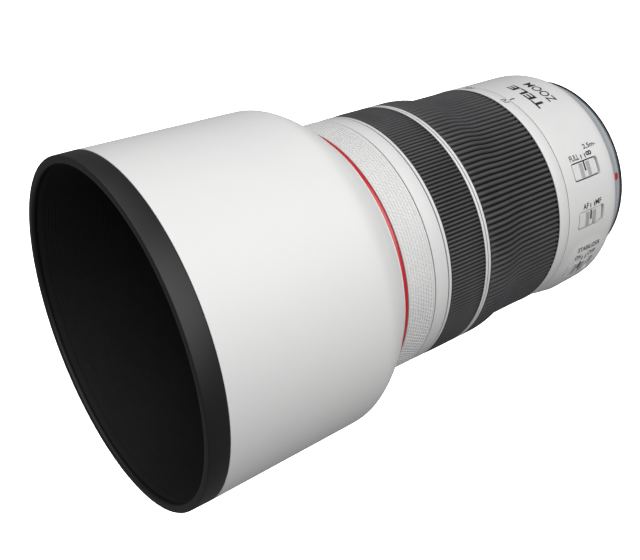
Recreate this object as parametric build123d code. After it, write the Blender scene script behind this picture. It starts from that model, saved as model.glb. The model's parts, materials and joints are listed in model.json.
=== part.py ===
from build123d import *
import os
from math import degrees, sqrt

os.makedirs("parts", exist_ok=True)

# Telephoto zoom lens with its hood, for a mirrorless camera. Every piece is worked out standing on the mount
# flange: Z runs forward along the optical axis, Y is the top of the lens and X is the side with the switches.
# save() turns each piece so that the lens looks along -Y with +Z up and the flange's face is at y = 0.

# Clearances (mm)
SEAM = 0.3             # between rings that turn past each other
SLIDE_GAP = 0.2        # between sliding tubes
PIN_GAP = 0.05         # a pin in its hole

# Tubes, from the optics outwards
OPTICS_R = 32.8        # bore that carries the lens groups
GUIDE_WALL = 1.0
CAM_WALL = 1.0
EXTENSION_WALL = 1.0
FRAME_WALL = 0.7
SLEEVE_WALL = 0.7
RUBBER = 0.7

# Lengths along the axis
MOUNT_THICK = 3.0
REAR_LENGTH = 31.25
ZOOM_LENGTH = 40.0
FOCUS_LENGTH = 15.95
TRIM_LENGTH = 4.95
CONTROL_LENGTH = 10.15
HEAD_LENGTH = 12.0
HOOD_LENGTH = 67.3
RIM_LENGTH = 5.9
LIP = 0.9              # bare lips at the ends of the rubber grips

# Outer radii over the tubes, and the camera's own mount
ZOOM_FLARE = 1.7       # how far the zoom grip flares at its front, over its waist
FOCUS_FLARE = 1.65     # crest of the focus grip over the same waist
TRIM_STEP = 1.4
HOOD_FLARE = 8.9       # hood's bell outside the head of the lens
HOOD_WALL = 1.6
LINER_WALL = 0.8
THREAD_DEPTH = 1.9     # filter thread's radius over the extension tube
HEAD_WALL = 2.1
FLANGE_R = 34.9
REGISTER_R = 26.95     # spigot that centres the lens in the camera
THROAT_R = 23.2

# Motion
ZOOM_TRAVEL = 57.0
ZOOM_ANGLE = 75.0
SWITCH_TRAVEL = 2.0

# Stack of radii
guide_out = OPTICS_R + GUIDE_WALL
cam_in = guide_out + SLIDE_GAP
cam_out = cam_in + CAM_WALL
extension_in = cam_out + SLIDE_GAP
extension_out = extension_in + EXTENSION_WALL
frame_in = extension_out + SLIDE_GAP
frame_out = frame_in + FRAME_WALL
ring_in = frame_out + SEAM
sleeve_out = ring_in + SLEEVE_WALL
waist_r = sleeve_out + RUBBER
rear_in = ring_in + 0.2
rear_out = rear_in + 1.3
trim_r = waist_r + TRIM_STEP
thread_r = extension_out + THREAD_DEPTH
head_r = thread_r + HEAD_WALL
bore_r = head_r + 0.25
bell_r = head_r + HOOD_FLARE

# Stations along the axis, from the flange forward
z_rear = MOUNT_THICK + 0.2
z_rear_end = z_rear + REAR_LENGTH
z_zoom = z_rear_end + SEAM
z_zoom_end = z_zoom + ZOOM_LENGTH
z_focus = z_zoom_end + SEAM
z_focus_end = z_focus + FOCUS_LENGTH
z_trim = z_focus_end + SEAM
z_trim_end = z_trim + TRIM_LENGTH
z_control = z_trim_end + SEAM
z_control_end = z_control + CONTROL_LENGTH
z_head = z_control_end + SEAM
z_head_end = z_head + HEAD_LENGTH
z_hood = z_head + 1.8
z_hood_end = z_hood + HOOD_LENGTH
z_rim = z_hood_end - RIM_LENGTH


def save(part, node):
    export_step(Rot(90, 0, 0) * part, f"parts/{node}.step")


def outline(*points):
    return make_face(Polyline([(r, 0, z) for r, z in points], close=True))


def lathe(*points):
    return revolve(outline(*points), Axis.Z)


def ring(r_in, r_out, z0, z1):
    return lathe((r_in, z0), (r_out, z0), (r_out, z1), (r_in, z1))


def sector(r_in, r_out, z0, z1, middle, width):
    face = outline((r_in, z0), (r_out, z0), (r_out, z1), (r_in, z1))
    return Rot(0, 0, middle - width / 2) * revolve(face, Axis.Z, revolution_arc=width)


def spoke(radius, r0, r1, z, angle):
    """A round bar standing out from the axis, between two radii."""
    bar = Cylinder(radius, r1 - r0, align=(Align.CENTER, Align.CENTER, Align.MIN))
    return Rot(0, 0, angle) * Pos(r0, 0, z) * Rot(0, 90, 0) * bar


def block(r0, r1, width, z0, z1, angle):
    """A straight-sided block standing out from the axis."""
    box = Box(r1 - r0, width, z1 - z0, align=(Align.MIN, Align.CENTER, Align.MIN))
    return Rot(0, 0, angle) * Pos(r0, 0, z0) * box


def rounded_block(r0, r1, width, z0, z1, angle, corner):
    """A block standing out from the axis whose four upright edges are rounded."""
    box = block(r0, r1, width, z0, z1, 0)
    return Rot(0, 0, angle) * fillet(box.edges().filter_by(Axis.X), corner)


def post(radius, at_r, z0, z1, angle):
    """A round bar along the axis, at a distance from it."""
    bar = Cylinder(radius, z1 - z0, align=(Align.CENTER, Align.CENTER, Align.MIN))
    return Rot(0, 0, angle) * Pos(at_r, 0, z0) * bar


def lens(radius, z0, z1, sag0, sag1):
    """A round element: its rear face bulges by sag0 and its front face by sag1, inside z0 to z1."""
    def face_curve(z, sag, side):
        edge = (radius, 0, z - side * sag)
        if abs(sag) < 0.01:
            return Line((0, 0, z), edge)
        curve = (radius**2 + sag**2) / (2 * abs(sag))
        half_sag = curve - sqrt(curve**2 - (radius / 2) ** 2)
        middle = (radius / 2, 0, z - side * half_sag * (1 if sag > 0 else -1))
        return ThreePointArc((0, 0, z), middle, edge)

    rear = face_curve(z0, sag0, -1)
    front = face_curve(z1, sag1, 1)
    rim = Line(rear @ 1, front @ 1)
    core = Line((0, 0, z0), (0, 0, z1))
    return revolve(make_face([rear, rim, front, core]), Axis.Z)


# ---------------------------------------------------------------- rear barrel, switches and mount

SWITCH_LENGTH = 13.3
SWITCH_WIDTH = 6.1
SWITCH_BACK = 16.2     # rear end of the switch windows
SWITCH_GAP = 0.2
SWITCH_PROUD = 0.4
SWITCH_FOOT = 11.0     # degrees that the foot spans
PANEL_R = 30.0         # rounded panel that carries the lower switches
PANEL_RISE = 1.4
PANEL_ANGLE = -20.8
switch_angles = {
    "limiter_switch": 42.1,
    "focus_switch": 17.7,
    "stabiliser_switch": -11.8,
    "mode_switch": -35.3,
}
lock_angle = 170
z_window = SWITCH_BACK + SWITCH_LENGTH


def barrel_skin(extra=0.0):
    """Outside of the rear barrel as a solid, with its rounded switch panel, grown by extra."""
    body = lathe(
        (0, z_rear),
        (FLANGE_R + extra, z_rear),
        (rear_out - 2.3 + extra, z_rear + 2.8),
        (rear_out - 0.6 + extra, z_rear + 5.8),
        (rear_out + extra, z_rear + 8.8),
        (rear_out + extra, z_rear_end),
        (0, z_rear_end),
    )
    top = PANEL_R + extra
    hump = lathe(
        (0, z_rear),
        (top - 3.4, z_rear),
        (top - 1.3, z_rear + 5.8),
        (top - 0.4, z_rear + 8.8),
        (top, z_rear + 16.5),
        (top, z_rear + 21.8),
        (top - 1.2, z_rear_end - 1.0),
        (0, z_rear_end - 1.0),
    )
    return body + Rot(0, 0, PANEL_ANGLE) * Pos(rear_out + PANEL_RISE - PANEL_R, 0, 0) * hump


def switch(angle):
    """A slider that fills its window but for its travel, with a foot behind the wall that keeps it in."""
    z0 = SWITCH_BACK + SWITCH_TRAVEL + SWITCH_GAP
    z1 = z_window - SWITCH_GAP
    width = SWITCH_WIDTH - 2 * SWITCH_GAP
    knob = rounded_block(rear_in - 0.6, rear_out + 6, width, z0, z1, angle, 0.7)
    knob = knob & barrel_skin(SWITCH_PROUD)
    foot = sector(rear_in - 1.1, rear_in - SEAM, z0 - 0.8, z1 + 0.8, angle, SWITCH_FOOT)
    return knob + foot


skin = barrel_skin()
hollow = lathe(
    (0, z_rear - 1),
    (FLANGE_R - 1.6, z_rear - 1),
    (FLANGE_R - 1.6, z_rear + 2),
    (rear_in, SWITCH_BACK - 5.0),
    (rear_in, z_rear_end + 1),
    (0, z_rear_end + 1),
)
rear_barrel = skin - hollow
for angle in [*switch_angles.values(), lock_angle]:
    rear_barrel -= rounded_block(rear_in - 4, rear_out + 6, SWITCH_WIDTH, SWITCH_BACK, z_window, angle, 0.9)
save(rear_barrel, "rear_barrel")
for node, angle in switch_angles.items():
    save(switch(angle), node)
save(switch(lock_angle), "zoom_lock")

# Mount: a chromed brass ring with its centring spigot and three bayonet lugs, sealed round its edge
SEAL = 0.6
LUG_R = REGISTER_R - 0.15
SCREW_CIRCLE = 30.5
SCREW_R = 0.9
SCREW_HEAD_R = 1.8
mount_ring = lathe(
    (THROAT_R, MOUNT_THICK),
    (THROAT_R, -5.2),
    (THROAT_R + 1.7, -5.2),
    (THROAT_R + 1.7, -1.3),
    (REGISTER_R, -1.3),
    (REGISTER_R, 0),
    (FLANGE_R - SEAL, 0),
    (FLANGE_R - SEAL, SEAL),
    (FLANGE_R, SEAL),
    (FLANGE_R, MOUNT_THICK),
)
for angle in (30, 150, 270):
    mount_ring += sector(THROAT_R + 1.2, LUG_R, -4.9, -3.4, angle, 52)
screws = []
for angle in (45, 135, 225, 315):
    shank = post(SCREW_R, SCREW_CIRCLE, 0.2, MOUNT_THICK + 4, angle)
    head_cone = Cone(SCREW_HEAD_R, SCREW_R, 1.1, align=(Align.CENTER, Align.CENTER, Align.MIN))
    head = Rot(0, 0, angle) * Pos(SCREW_CIRCLE, 0, 0.2) * head_cone
    opening = post(SCREW_HEAD_R, SCREW_CIRCLE, -0.1, 0.2, angle)
    socket = post(0.7, SCREW_CIRCLE, 0.1, 0.9, angle)
    mount_ring -= shank + head + opening
    screws.append((shank + head) - socket)
save(mount_ring, "mount_ring")
save(ring(FLANGE_R - SEAL, FLANGE_R, 0.02, SEAL), "mount_seal")

# Frame ring behind the flange: takes the mount screws and closes the rear barrel
frame_ring = ring(THROAT_R + 3.6, FLANGE_R - 1.6, MOUNT_THICK, MOUNT_THICK + 2.0)
for angle in (45, 135, 225, 315):
    boss = post(SCREW_HEAD_R, SCREW_CIRCLE, MOUNT_THICK, MOUNT_THICK + 4.5, angle)
    frame_ring += boss
for angle in (45, 135, 225, 315):
    frame_ring -= post(SCREW_R, SCREW_CIRCLE, MOUNT_THICK - 1, MOUNT_THICK + 6, angle)
save(frame_ring, "rear_frame")
save(Compound(children=screws), "mount_screws")

# Contacts: a block inside the foot of the spigot with a row of gold-faced pins
CONTACTS = 12
CONTACT_STEP = 5.6
contact_block = sector(THROAT_R - 3.4, THROAT_R, -4.6, -0.6, -90, CONTACT_STEP * (CONTACTS + 1))
pins = []
for i in range(CONTACTS):
    angle = -90 + CONTACT_STEP * (i - (CONTACTS - 1) / 2)
    pin = post(0.55, THROAT_R - 1.7, -4.8, -2.0, angle)
    contact_block -= pin
    pins.append(pin)
save(contact_block, "contact_block")
save(Compound(children=pins), "contact_pins")

# ---------------------------------------------------------------- fixed tubes

KEY_WIDTH = 8.0
KEY_ANGLE = 300        # where the zoom key stands at the wide end
z_key = z_zoom + 3.6
z_key_end = z_key + 3.0
ROLLER_R = 1.5
z_roller = z_key_end + 4.2
z_tube = z_roller - ROLLER_R - 1.5
slot_r = ROLLER_R + PIN_GAP
roller_angles = (90, 210, 330)
z_guide = 15.0
z_collar = z_rear_end - 3.5
z_cam = z_collar + 4.0
z_cam_end = z_roller + ZOOM_TRAVEL + slot_r + 1.5

frame_tube = lathe(
    (frame_in, z_collar),
    (rear_in, z_collar),
    (rear_in, z_rear_end - 0.4),
    (frame_out, z_rear_end - 0.4),
    (frame_out, z_control_end - 1.3),
    (frame_out + 1.5, z_control_end - 1.3),
    (frame_out + 1.5, z_control_end),
    (frame_in, z_control_end),
)
key_degrees = degrees(KEY_WIDTH / frame_in)
frame_tube -= sector(
    frame_in - 1, frame_out + 1, z_key - 0.3, z_key_end + 0.3, KEY_ANGLE - ZOOM_ANGLE / 2,
    ZOOM_ANGLE + key_degrees + 3,
)
save(frame_tube, "frame_tube")

guide_tube = ring(OPTICS_R, guide_out, z_guide, z_control_end - 0.8)
guide_tube += ring(OPTICS_R, frame_in, z_collar + 0.5, z_collar + 2.5)
for angle in roller_angles:
    guide_tube -= block(OPTICS_R - 1, guide_out + 0.1, 2 * slot_r, z_roller, z_roller + ZOOM_TRAVEL, angle)
    guide_tube -= spoke(slot_r, OPTICS_R - 1, guide_out + 0.1, z_roller, angle)
    guide_tube -= spoke(slot_r, OPTICS_R - 1, guide_out + 0.1, z_roller + ZOOM_TRAVEL, angle)
save(guide_tube, "guide_tube")

save(ring(frame_out, trim_r, z_trim, z_trim_end), "trim_ring")

# ---------------------------------------------------------------- zoom ring and cam tube

SCALE_LENGTH = 4.85    # bare rear end of the sleeve, which carries the focal lengths
z_grip = z_zoom + SCALE_LENGTH
z_grip_end = z_zoom_end - LIP


def zoom_form(base):
    """Waisted line of the zoom grip at a height over the sleeve, from the rear forward."""
    length = z_grip_end - z_grip
    return [
        (base + 0.06 * ZOOM_FLARE, z_grip),
        (base, z_grip + 0.20 * length),
        (base, z_grip + 0.46 * length),
        (base + 0.10 * ZOOM_FLARE, z_grip + 0.55 * length),
        (base + 0.90 * ZOOM_FLARE, z_grip + 0.75 * length),
        (base + ZOOM_FLARE, z_grip + 0.81 * length),
        (base + 0.97 * ZOOM_FLARE, z_grip_end),
    ]


zoom_sleeve = lathe(
    (ring_in, z_zoom),
    (rear_out + 0.1, z_zoom),
    (rear_out + 0.2, z_grip),
    *zoom_form(sleeve_out),
    (waist_r + ZOOM_FLARE - 0.1, z_grip_end),
    (waist_r + ZOOM_FLARE - 0.1, z_zoom_end),
    (ring_in, z_zoom_end),
)
save(zoom_sleeve, "zoom_sleeve")
save(lathe(*zoom_form(sleeve_out), *reversed(zoom_form(waist_r))), "zoom_grip")
zoom_key = block(cam_out - 2, ring_in + 2, KEY_WIDTH, z_key, z_key_end, KEY_ANGLE)
save(zoom_key & ring(cam_out, ring_in, z_key, z_key_end), "zoom_key")

# Each cam slot climbs by the lens's travel while the ring turns through its angle
pitch = ZOOM_TRAVEL * 360 / ZOOM_ANGLE
cam_mid = (cam_in + cam_out) / 2
helix = Helix(pitch, ZOOM_TRAVEL, cam_mid)
slot_start = Plane(origin=helix @ 0, x_dir=(1, 0, 0), z_dir=helix % 0)
slot = sweep(slot_start * Rectangle(3 * CAM_WALL, 2 * slot_r), path=helix, is_frenet=True)
slot += spoke(slot_r, cam_mid - 1.5 * CAM_WALL, cam_mid + 1.5 * CAM_WALL, 0, 0)
slot += spoke(slot_r, cam_mid - 1.5 * CAM_WALL, cam_mid + 1.5 * CAM_WALL, ZOOM_TRAVEL, ZOOM_ANGLE)
cam_tube = ring(cam_in, cam_out, z_cam, z_cam_end)
for angle in roller_angles:
    cam_tube -= Rot(0, 0, angle) * Pos(0, 0, z_roller) * slot
save(cam_tube, "cam_tube")

# ---------------------------------------------------------------- focus ring and control ring

z_rubber = z_focus + LIP
z_rubber_end = z_focus_end - LIP


def focus_form(base):
    return [
        (base + FOCUS_FLARE, z_rubber),
        (base + FOCUS_FLARE, z_rubber + 0.6 * (z_rubber_end - z_rubber)),
        (base + FOCUS_FLARE - 0.2, z_rubber_end),
    ]


focus_sleeve = lathe(
    (ring_in, z_focus),
    (waist_r + FOCUS_FLARE - 0.1, z_focus),
    (waist_r + FOCUS_FLARE - 0.1, z_rubber),
    *focus_form(sleeve_out),
    (trim_r, z_rubber_end),
    (trim_r, z_focus_end),
    (ring_in, z_focus_end),
)
save(focus_sleeve, "focus_sleeve")
save(lathe(*focus_form(sleeve_out), *reversed(focus_form(waist_r))), "focus_grip")

save(
    lathe(
        (ring_in, z_control),
        (trim_r, z_control),
        (trim_r, z_control_end),
        (frame_out + 1.8, z_control_end),
        (frame_out + 1.8, z_control_end - 1.6),
        (ring_in, z_control_end - 1.6),
    ),
    "control_ring",
)

# ---------------------------------------------------------------- head that moves forward when zoomed

BAND = 1.4             # red ring's width
GROOVE_DEPTH = 1.0
z_band_end = z_head + BAND
z_groove = z_hood + 2.3
z_groove_end = z_groove + 3.0
LUG_WIDTH = 18
lug_angles = (30, 150, 270)
HOOD_TURN = 60
seat_r = thread_r - 0.5
band_in = trim_r - 0.7
band_edge = trim_r - 0.05

front_ring = lathe(
    (extension_in, z_head),
    (band_in, z_head),
    (band_in, z_band_end),
    (head_r, z_band_end),
    (head_r, z_groove),
    (head_r - GROOVE_DEPTH, z_groove),
    (head_r - GROOVE_DEPTH, z_groove_end),
    (head_r, z_groove_end),
    (head_r, z_head_end),
    (thread_r, z_head_end),
    (thread_r, z_head_end - 4.6),
    (seat_r, z_head_end - 4.6),
    (seat_r, z_head + 1.6),
    (extension_in, z_head + 1.6),
)
for angle in lug_angles:
    entry = angle + HOOD_TURN
    front_ring -= sector(head_r - GROOVE_DEPTH, head_r + 1, z_groove, z_head_end + 1, entry, LUG_WIDTH + 4)
save(front_ring, "front_ring")

band = make_face([
    Line((band_in, 0, z_head), (band_edge, 0, z_head)),
    ThreePointArc(
        (band_edge, 0, z_head),
        (band_edge + 0.35, 0, z_head + BAND / 2),
        (band_edge, 0, z_band_end),
    ),
    Line((band_edge, 0, z_band_end), (band_in, 0, z_band_end)),
    Line((band_in, 0, z_band_end), (band_in, 0, z_head)),
])
save(revolve(band, Axis.Z), "red_ring")

extension_tube = ring(extension_in, extension_out, z_tube, z_head)
rollers = []
for angle in roller_angles:
    hole = spoke(0.9, extension_in - 1, extension_out + 1, z_roller, angle)
    extension_tube -= hole
    wheel = spoke(ROLLER_R, OPTICS_R + 0.1, extension_in - 0.25, z_roller, angle)
    pin = spoke(0.9, OPTICS_R + 0.5, extension_out - 0.1, z_roller, angle)
    rollers.append(wheel + pin)
save(extension_tube, "extension_tube")
save(Compound(children=rollers), "cam_rollers")

FRONT_LENS_R = 33.4
z_cell = z_head + 1.6
front_cell = ring(FRONT_LENS_R, seat_r, z_cell, z_cell + 4.2)
front_cell += ring(FRONT_LENS_R - 1.2, FRONT_LENS_R + 0.5, z_cell, z_cell + 0.6)
save(front_cell, "front_cell")
save(lens(FRONT_LENS_R, z_cell + 2.7, z_cell + 5.5, -2.0, 2.3), "front_lens")
save(
    lathe(
        (FRONT_LENS_R - 1.4, z_cell + 4.2),
        (seat_r, z_cell + 4.2),
        (seat_r, z_cell + 5.6),
        (FRONT_LENS_R + 0.4, z_cell + 5.6),
        (FRONT_LENS_R - 1.4, z_cell + 4.6),
    ),
    "name_ring",
)

# ---------------------------------------------------------------- hood

bell_in = bell_r - HOOD_WALL
liner_in = bell_in - LINER_WALL
z_step = z_head_end + 0.4
z_bell = z_step + 1.1
LINER_STEP = 1.6       # how far the liner's floor is drawn in from its wall
RIM_REACH = 1.5        # how far the rim stands past the shell
z_shell_end = z_hood_end - RIM_REACH
hood_shell = lathe(
    (bore_r, z_hood),
    (bore_r + 0.65, z_hood),
    (bore_r + 0.75, z_hood + 0.6),
    (bell_r - 5.8, z_hood + 1.7),
    (bell_r - 4.6, z_hood + 3.2),
    (bell_r - 3.4, z_hood + 5.2),
    (bell_r - 2.5, z_hood + 7.2),
    (bell_r - 1.5, z_hood + 9.7),
    (bell_r - 0.7, z_hood + 11.4),
    (bell_r - 0.2, z_hood + 13.0),
    (bell_r, z_hood + 15.0),
    (bell_r, z_rim),
    (bell_r - 1.0, z_rim),
    (bell_r - 1.0, z_shell_end),
    (bell_in, z_shell_end),
    (bell_in, z_step + 2.0),
    (bell_in - LINER_STEP, z_step - 0.2),
    (bore_r + 0.8, z_hood + 1.9),
    (bore_r, z_hood + 1.9),
)
hood_shell += ring(bore_r, bore_r + 2.0, z_groove + 0.3, z_groove_end - 0.3)
for angle in lug_angles:
    hood_shell += sector(
        head_r - GROOVE_DEPTH + 0.3, bore_r + 1, z_groove + 0.3, z_groove_end - 0.3, angle, LUG_WIDTH
    )
BUTTON_ANGLE = 185
BUTTON_WIDTH = 11.0
BUTTON_LENGTH = 8.0
z_button = z_bell + 3.5


def button_block(r0, r1, grow):
    return block(
        r0, r1, BUTTON_WIDTH + 2 * grow, z_button - grow, z_button + BUTTON_LENGTH + grow, BUTTON_ANGLE
    )


hood_shell -= button_block(bell_in - 3, bell_r + 3, 0.25)
save(hood_shell, "hood_shell")
hood_liner = lathe(
    (thread_r + 1.2, z_step),
    (bell_in - LINER_STEP, z_step),
    (bell_in, z_step + 2.2),
    (bell_in, z_shell_end),
    (liner_in, z_shell_end),
    (liner_in, z_bell + 1.9),
    (liner_in - LINER_STEP, z_bell),
    (thread_r + 1.2, z_bell),
)
save(hood_liner - button_block(liner_in - 3, bell_in + 1, 1.3), "hood_liner")
hood_button = button_block(bell_in - 1, bell_r + 2, 0) & ring(bell_in - 0.2, bell_r + 0.4, z_bell, z_rim)
button_foot = button_block(bell_in - 3, bell_in + 1, 1.0) & ring(bell_in - 0.9, bell_in - 0.1, z_bell, z_rim)
save(hood_button + button_foot, "hood_button")
save(
    lathe(
        (bell_r - 1.0, z_rim),
        (bell_r, z_rim),
        (bell_r - 0.1, z_hood_end - 0.6),
        (bell_r - 0.7, z_hood_end),
        (liner_in + 0.3, z_hood_end),
        (liner_in, z_hood_end - 0.4),
        (liner_in, z_shell_end),
        (bell_r - 1.0, z_shell_end),
    ),
    "hood_rim",
)

# ---------------------------------------------------------------- optics and drives inside

group_r = OPTICS_R - SLIDE_GAP

# Zoom group, which the cam carries forward with the head; its keys run in their own slots
z_variator = 80.0
variator_lens_r = 27.0
zoom_cell = ring(variator_lens_r, group_r, z_variator, z_variator + 9)
zoom_cell += ring(variator_lens_r - 1.2, variator_lens_r + 0.5, z_variator, z_variator + 0.8)
save(zoom_cell, "zoom_cell")
save(lens(variator_lens_r, z_variator + 2.7, z_variator + 5.6, -1.8, -1.8), "zoom_lens")

# Iris: nine crescent blades, each on its own pin and in its own layer, under a drive ring
BLADES = 9
BLADE_THICK = 0.2
BLADE_STEP = 0.36
PIN_R = 0.6
pin_circle = OPTICS_R - 4.4
z_iris = 66.0
z_blades = z_iris + 1.5
iris_housing = ring(20, OPTICS_R, z_iris, z_iris + 1.2) + ring(OPTICS_R - 1.2, OPTICS_R, z_iris, z_iris + 7.0)
for i in range(BLADES):
    turn = 360 / BLADES * i
    iris_housing += post(PIN_R, pin_circle, z_iris + 1.0, z_blades + BLADE_STEP * BLADES, turn)
    layer = z_blades + BLADE_STEP * i
    blade = sector(pin_circle - 6.2, pin_circle - 1.7, layer, layer + BLADE_THICK, turn + 38, 84)
    blade += post(1.7, pin_circle, layer, layer + BLADE_THICK, turn)
    blade += block(pin_circle - 3, pin_circle, 2.6, layer, layer + BLADE_THICK, turn)
    blade -= post(PIN_R + PIN_GAP, pin_circle, layer - 1, layer + 1, turn)
    save(blade, f"iris_blade_{i + 1}")
save(iris_housing, "iris_housing")
z_drive = z_blades + BLADE_STEP * BLADES + 0.3
save(ring(21.5, OPTICS_R - 1.2 - 0.25, z_drive, z_drive + 1.2), "iris_drive_ring")
iris_motor = post(3.2, 25.5, z_iris - 7.5, z_iris, 135)
save(iris_motor, "iris_motor")

# Stabiliser: a frame fixed in the bore, a slider that moves sideways and a cell that moves up and down in it
z_stab = 48.0
SHIFT = 1.0
save(ring(22, OPTICS_R, z_stab, z_stab + 1.6), "stabiliser_frame")
save(ring(17, OPTICS_R - 1 - 2 * SHIFT, z_stab + 1.9, z_stab + 3.3), "stabiliser_slider")
stabiliser_cell = ring(14, OPTICS_R - 2 - 3 * SHIFT, z_stab + 3.6, z_stab + 4.8)
stabiliser_cell += ring(14, 15.5, z_stab + 1.0, z_stab + 3.6)
save(stabiliser_cell, "stabiliser_cell")
save(lens(14, z_stab + 1.4, z_stab + 4.6, 0.5, 0.9), "stabiliser_lens")

# Focus group: a carriage on two rods, pushed by a small linear motor
ROD_R = 1.2
rod_circle = 28.0
z_rods = z_guide + 3.0
z_rods_end = z_stab
z_carriage = 24.0
rods = [post(ROD_R, rod_circle, z_rods, z_rods_end, angle) for angle in (0, 180)]
save(Compound(children=rods), "focus_rods")
carriage = ring(15, 23, z_carriage, z_carriage + 5)
for angle in (0, 180):
    carriage += block(20, rod_circle, 5.0, z_carriage, z_carriage + 5, angle)
    carriage += post(2.8, rod_circle, z_carriage, z_carriage + 5, angle)
for angle in (0, 180):
    carriage -= post(ROD_R + PIN_GAP, rod_circle, z_carriage - 1, z_carriage + 6, angle)
save(carriage, "focus_carriage")
save(lens(15, z_carriage + 1.2, z_carriage + 4.4, -0.6, 0.8), "focus_lens")
save(block(25.5, 30.5, 7, z_rods, z_rods_end - 4, 90), "focus_motor")

# Rear group, and the board that the switches and drives are wired to
REAR_LENS_R = 17.0
EDGE_GAP = 0.15        # cement round an element
z_group = z_rear + 0.2
inner_lens_r = REAR_LENS_R - 2.5
group_out = THROAT_R + 3.2
rear_cell = lathe(
    (REAR_LENS_R, z_group),
    (group_out, z_group),
    (group_out, z_guide),
    (OPTICS_R, z_guide),
    (OPTICS_R, z_rods),
    (inner_lens_r + EDGE_GAP, z_rods),
    (inner_lens_r + EDGE_GAP, z_group + 6.2),
    (REAR_LENS_R, z_group + 6.2),
)
save(rear_cell, "rear_cell")
rear_elements = [
    lens(REAR_LENS_R - EDGE_GAP, z_group + 1.0, z_group + 5.0, 0.9, 0.4),
    lens(inner_lens_r, z_group + 8.5, z_group + 11.0, -1.0, 0.6),
]
save(Compound(children=rear_elements), "rear_lens")
z_board = MOUNT_THICK + 5.2
main_board = ring(group_out + 0.5, FLANGE_R - 2.0, z_board, z_board + 1.2)
for angle, width in ((70, 6), (200, 8), (320, 5)):
    main_board += block(group_out + 1.2, group_out + 4.6, width, z_board + 1.0, z_board + 2.2, angle)
save(main_board, "main_board")
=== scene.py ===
import json
import math

import bmesh
import bpy
from mathutils import Matrix, Vector


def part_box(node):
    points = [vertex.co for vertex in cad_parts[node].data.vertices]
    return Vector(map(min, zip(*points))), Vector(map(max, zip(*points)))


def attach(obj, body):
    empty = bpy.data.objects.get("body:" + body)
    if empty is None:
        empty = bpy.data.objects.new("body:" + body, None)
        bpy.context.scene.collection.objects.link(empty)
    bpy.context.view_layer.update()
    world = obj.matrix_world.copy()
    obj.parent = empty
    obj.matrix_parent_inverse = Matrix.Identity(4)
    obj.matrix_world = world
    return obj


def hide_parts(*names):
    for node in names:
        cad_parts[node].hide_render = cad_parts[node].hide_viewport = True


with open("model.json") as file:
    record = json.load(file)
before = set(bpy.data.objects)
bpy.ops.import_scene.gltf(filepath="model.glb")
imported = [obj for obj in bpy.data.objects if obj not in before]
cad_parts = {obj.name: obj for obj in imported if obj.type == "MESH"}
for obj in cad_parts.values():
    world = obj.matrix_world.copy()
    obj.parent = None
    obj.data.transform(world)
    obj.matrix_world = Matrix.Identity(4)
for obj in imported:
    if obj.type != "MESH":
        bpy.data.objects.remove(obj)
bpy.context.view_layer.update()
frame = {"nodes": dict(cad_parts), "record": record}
mm = 0.001

# ---- Camera and studio -------------------------------------------------------------------------------------
# A product shot: the camera looks down into the hood from in front, on the side with the switches. The lens
# hangs well above a white floor that has its own wash of light, with a large softbox over the switch side.
bpy.context.scene.view_settings.view_transform = "Standard"

camera_data = bpy.data.cameras.new("camera")
camera_data.sensor_width = 36.0
camera_data.lens = 48.62
camera_data.shift_x = -0.0944
camera_data.shift_y = -0.0438
camera = bpy.data.objects.new("camera", camera_data)
bpy.context.scene.collection.objects.link(camera)
back = Vector((0.53100, -0.58428, 0.61372)).normalized()
right = Vector((-0.56107, 0.30032, 0.77137)).cross(back).normalized()
turn = Matrix((right, back.cross(right), back)).transposed().to_4x4()
camera.matrix_world = Matrix.Translation((0.15179, -0.24746, 0.16758)) @ turn
bpy.context.scene.camera = camera


def linear(hex_colour):
    """An sRGB hex colour as the linear values that a shader takes."""
    shares = [int(hex_colour[i : i + 2], 16) / 255 for i in (1, 3, 5)]
    return [s / 12.92 if s <= 0.04045 else ((s + 0.055) / 1.055) ** 2.4 for s in shares] + [1.0]


def add_node(finish, kind, inputs, **settings):
    """Adds a node; an input given a socket is linked to it, and any other is set."""
    node = finish.node_tree.nodes.new(kind)
    for name, value in settings.items():
        setattr(node, name, value)
    for name, value in inputs.items():
        if isinstance(value, bpy.types.NodeSocket):
            finish.node_tree.links.new(value, node.inputs[name])
        else:
            node.inputs[name].default_value = value
    return node


def new_finish(name):
    finish = bpy.data.materials.new(name)
    finish.use_nodes = True
    finish.node_tree.nodes.clear()
    return finish


def surface(finish, **inputs):
    """Ends a finish with its shader, whose inputs are written with underscores for spaces."""
    named = {key.replace("_", " "): value for key, value in inputs.items()}
    shader = add_node(finish, "ShaderNodeBsdfPrincipled", named)
    add_node(finish, "ShaderNodeOutputMaterial", {"Surface": shader.outputs[0]})
    return finish


def grained(name, dark, light, patch, grain, height, rough, **inputs):
    """A finish whose colour drifts between two near shades over a patch, with a fine grain in its surface."""
    finish = new_finish(name)
    place = add_node(finish, "ShaderNodeTexCoord", {}).outputs["Object"]
    drift = add_node(finish, "ShaderNodeTexNoise", {"Vector": place, "Scale": 1 / patch, "Detail": 3.0})
    ramp = add_node(finish, "ShaderNodeValToRGB", {"Fac": drift.outputs["Fac"]})
    ramp.color_ramp.elements[0].position = 0.35
    ramp.color_ramp.elements[0].color = linear(dark)
    ramp.color_ramp.elements[1].position = 0.65
    ramp.color_ramp.elements[1].color = linear(light)
    speckle = add_node(finish, "ShaderNodeTexNoise", {"Vector": place, "Scale": 1 / grain, "Detail": 2.0})
    bump = add_node(
        finish,
        "ShaderNodeBump",
        {"Height": speckle.outputs["Fac"], "Strength": 0.6, "Distance": height},
    )
    gloss = add_node(
        finish,
        "ShaderNodeMapRange",
        {"Value": speckle.outputs["Fac"], "To Min": rough - 0.04, "To Max": rough + 0.04},
    )
    return surface(
        finish,
        Base_Color=ramp.outputs["Color"],
        Roughness=gloss.outputs["Result"],
        Normal=bump.outputs["Normal"],
        **inputs,
    )


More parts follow.
